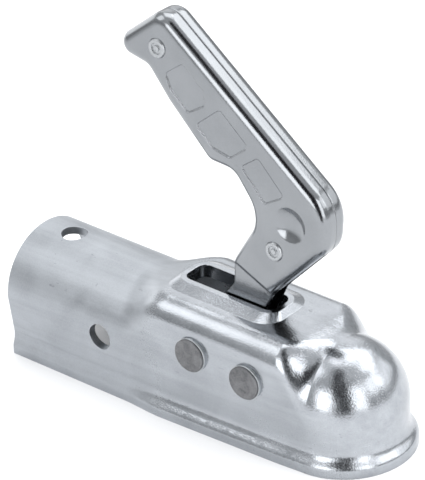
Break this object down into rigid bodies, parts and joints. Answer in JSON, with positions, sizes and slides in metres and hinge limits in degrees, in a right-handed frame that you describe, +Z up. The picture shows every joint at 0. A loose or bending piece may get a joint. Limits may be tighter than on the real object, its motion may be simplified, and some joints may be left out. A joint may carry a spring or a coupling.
{
  "type": "trailer coupling head",
  "caption": "Pressed steel coupling head for a round drawbar: domed ball socket, flanged skirt, slotted top with a two-shell locking handle and a jaw behind the ball.",
  "frame": {"origin": "on the surface that the skirt's bottom edge rests on, in the middle plane, below the ball's centre", "axes": "+Z up, +X towards the ball end, Y across; the drawbar's axis rises 3 degrees towards the rear"},
  "size_m": [0.214, 0.0662, 0.1952],
  "materials": {
    "housing": "bright zinc plating",
    "handle": "bright zinc plating",
    "pins": "zinc plating, upset head",
    "washers": "zinc plating",
    "fasteners": "zinc plating",
    "inner_steel": "zinc plating, dull",
    "springs": "spring wire"
  },
  "bodies": {
    "frame": {"housing": "housing", "handle_pin": "pins", "jaw_pin": "pins", "handle_washer_right": "washers", "handle_washer_left": "washers", "jaw_washer_right": "washers", "jaw_washer_left": "washers", "handle_spacer_right": "inner_steel", "handle_spacer_left": "inner_steel", "jaw_spacer_right": "inner_steel", "jaw_spacer_left": "inner_steel", "jaw_spring_right": "springs", "jaw_spring_left": "springs"},
    "handle": {"handle_shell_right": "handle", "handle_shell_left": "handle", "handle_rivet_upper": "fasteners", "handle_rivet_lower": "fasteners", "handle_bush": "inner_steel", "closing_cam": "inner_steel", "cam_pin": "inner_steel"},
    "jaw": {"ball_jaw": "inner_steel"}
  },
  "joints": [
    {"name": "handle_swing", "type": "hinge", "parent": "frame", "child": "handle", "pos_m": [-0.06386, 0, 0.03853], "axis": [0, -1, 0], "range_deg": [0, 50]},
    {"name": "jaw_swing", "type": "hinge", "parent": "frame", "child": "jaw", "pos_m": [-0.03252, 0, 0.03469], "axis": [0, -1, 0], "range_deg": [0, 16]}
  ],
  "couplings": [
    {"joint": "jaw_swing", "follows": "handle_swing", "ratio": 0.32}
  ]
}
